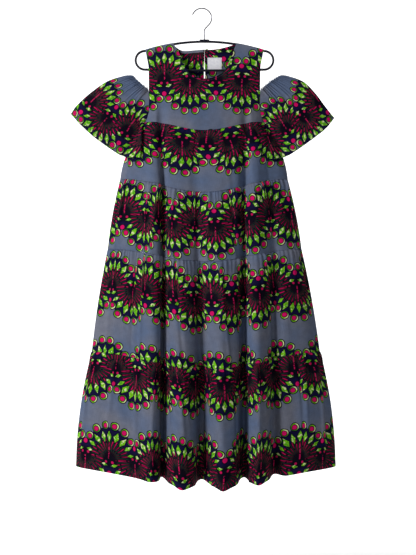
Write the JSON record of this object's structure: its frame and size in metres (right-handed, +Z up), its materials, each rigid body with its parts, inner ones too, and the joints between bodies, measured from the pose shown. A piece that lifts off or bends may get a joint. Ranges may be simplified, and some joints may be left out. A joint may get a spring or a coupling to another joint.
{
  "type": "tiered dress on a hanger",
  "caption": "Long A-line dress of gathered tiers with a plain yoke and cold-shoulder sleeves in a fan-band wax print, hanging on a black wire hanger.",
  "frame": {"origin": "inside top of the hanger's hook, where the rail bears", "axes": "+Z up, the front of the dress faces -Y, +X is to the right of someone who looks at the front"},
  "size_m": [0.7859, 0.2349, 1.4037],
  "materials": {
    "print_cloth": "matt cotton with a fan-band print in navy, crimson, lime and slate",
    "plain_cloth": "matt slate cotton",
    "label_cloth": "off-white woven tape, bare",
    "thread": "navy thread",
    "button": "pale green, polished",
    "coated_wire": "black coating over wire, satin",
    "steel": "bright plated steel wire"
  },
  "bodies": {
    "root": {"yoke_front": "print_cloth", "yoke_back_left": "print_cloth", "yoke_back_right": "print_cloth", "tier1_front": "print_cloth", "tier1_back": "print_cloth", "tier2_front": "print_cloth", "tier2_back": "print_cloth", "tier3_front": "print_cloth", "tier3_back": "print_cloth", "tier4_front": "print_cloth", "tier4_back": "print_cloth", "sleeve_left": "print_cloth", "sleeve_right": "print_cloth", "neck_facing": "plain_cloth", "neck_label": "label_cloth", "button": "button", "button_loop": "thread", "hanger_body": "coated_wire", "hanger_hook": "steel", "hanger_saddle": "coated_wire"}
  },
  "joints": []
}
